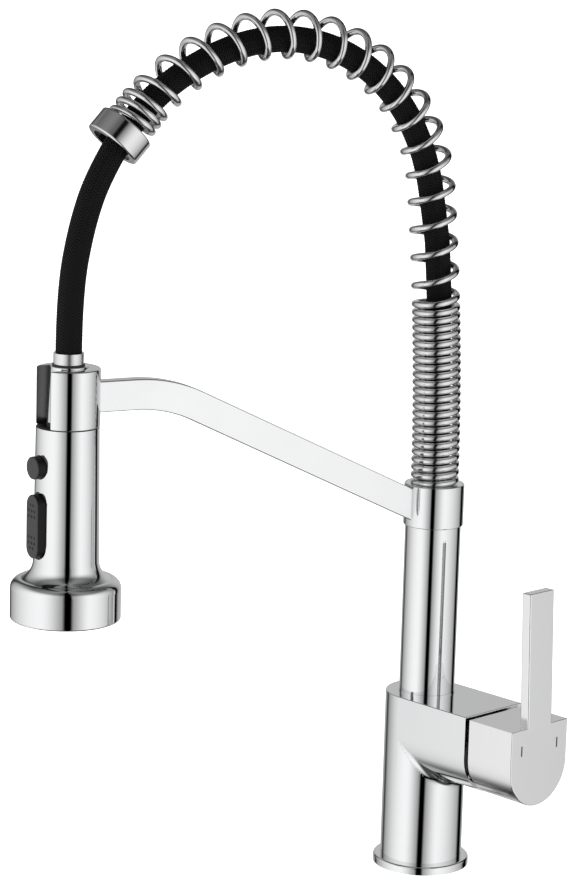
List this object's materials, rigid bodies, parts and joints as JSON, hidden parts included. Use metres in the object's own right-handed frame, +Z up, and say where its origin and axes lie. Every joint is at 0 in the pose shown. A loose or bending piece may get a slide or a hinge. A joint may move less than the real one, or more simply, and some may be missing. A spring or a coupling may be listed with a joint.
{
  "type": "kitchen faucet",
  "caption": "Deck-mounted pull-down kitchen faucet: single lever mixer, spring neck over a braided hose, docking arm with clip, and a spray head with pause button and spray rocker.",
  "frame": {"origin": "middle of the face that stands on the deck, on the axis of the riser", "axes": "+Z up along the riser; the spout reaches to -X; the lever stands on the -Y side, 73 degrees from +X"},
  "size_m": [0.2743, 0.1084, 0.4452],
  "materials": {
    "chrome": "polished chrome plate",
    "neck_metal": "polished chrome plate",
    "seal_rubber": "smooth rubber",
    "nozzle_rubber": "soft grey rubber",
    "hose_braid": "black braided sleeve",
    "white_plastic": "moulded",
    "cartridge_plastic": "moulded",
    "dark_plastic": "moulded",
    "control_grey": "moulded, satin",
    "ceramic": "lapped ceramic",
    "brass": "machined",
    "steel": "machined",
    "mark": "flush inlay"
  },
  "bodies": {
    "base": {"base_flange": "chrome", "base_gasket": "seal_rubber", "valve_body": "chrome", "swivel_bush": "white_plastic", "slip_ring": "chrome", "spout_screw": "steel", "cartridge_seals": "seal_rubber", "cartridge_cup": "cartridge_plastic", "fixed_disc": "ceramic", "cartridge_lid": "cartridge_plastic", "retaining_nut": "brass", "trim_ring": "dark_plastic"},
    "rotor": {"cartridge_rotor": "cartridge_plastic", "pivot_pin": "steel"},
    "moving_disc": {"moving_disc": "ceramic"},
    "handle": {"handle_lever": "chrome", "cartridge_spindle": "brass", "handle_screw": "steel", "temperature_marks": "mark"},
    "spout": {"spout_pivot": "brass", "spout_seals": "seal_rubber", "riser_tube": "chrome", "dock_collar": "chrome", "spring_seat": "chrome", "neck_spring": "chrome", "hose_nipple": "brass", "hose_upper": "hose_braid", "hose_lower": "hose_braid", "end_ferrule": "chrome", "dock_arm": "chrome", "dock_clip": "chrome"},
    "hose_end": {"crimp_sleeve": "chrome", "sleeve_ring": "seal_rubber", "swivel_stem": "brass", "swivel_seal": "seal_rubber"},
    "spray_head": {"head_neck": "neck_metal", "dock_ring": "seal_rubber", "check_valve": "white_plastic", "neck_gasket": "seal_rubber", "head_shell": "chrome", "rocker_pin": "steel", "head_core": "white_plastic", "aerator": "dark_plastic", "spray_nozzles": "nozzle_rubber", "spray_plate": "dark_plastic"},
    "pause_button": {"pause_button": "control_grey"},
    "spray_rocker": {"spray_rocker": "control_grey"},
    "diverter": {"diverter_plunger": "brass"}
  },
  "joints": [
    {"name": "spout_swivel", "type": "hinge", "parent": "base", "child": "spout", "pos_m": [0, 0, 0], "axis": [0, 0, 1], "continuous": true},
    {"name": "handle_temperature", "type": "hinge", "parent": "base", "child": "rotor", "pos_m": [0, 0, 0.0715], "axis": [0.2924, -0.9563, 0], "range_deg": [-45, 45]},
    {"name": "handle_flow", "type": "hinge", "parent": "rotor", "child": "handle", "pos_m": [0.00994, -0.03251, 0.0715], "axis": [0.9563, 0.2924, 0], "range_deg": [0, 12]},
    {"name": "disc_slide", "type": "slide", "parent": "rotor", "child": "moving_disc", "axis": [0, 0, 1], "range_m": [0, 0.0019]},
    {"name": "head_pull_down", "type": "slide", "parent": "spout", "child": "hose_end", "axis": [0, 0, -1], "range_m": [0, 0.12], "stiffness_N_per_m": 60, "springref_m": -0.12, "deforming": ["hose_lower"]},
    {"name": "head_spin", "type": "hinge", "parent": "hose_end", "child": "spray_head", "pos_m": [-0.2043, 0, 0.25], "axis": [0, 0, 1], "continuous": true},
    {"name": "button_press", "type": "slide", "parent": "spray_head", "child": "pause_button", "axis": [0.9903, 0.1392, 0], "range_m": [0, 0.0022], "stiffness_N_per_m": 600, "springref_m": -0.002},
    {"name": "rocker_tilt", "type": "hinge", "parent": "spray_head", "child": "spray_rocker", "pos_m": [-0.21321, -0.00125, 0.1987], "axis": [0.1392, -0.9903, 0], "range_deg": [-4, 4]},
    {"name": "diverter_slide", "type": "slide", "parent": "spray_head", "child": "diverter", "axis": [0.9903, 0.1392, 0], "range_m": [-0.00067, 0.00067]}
  ],
  "couplings": [
    {"joint": "disc_slide", "follows": "handle_flow", "m_per_rad": 0.0087},
    {"joint": "rocker_tilt", "follows": "diverter_slide", "rad_per_m": 100}
  ]
}
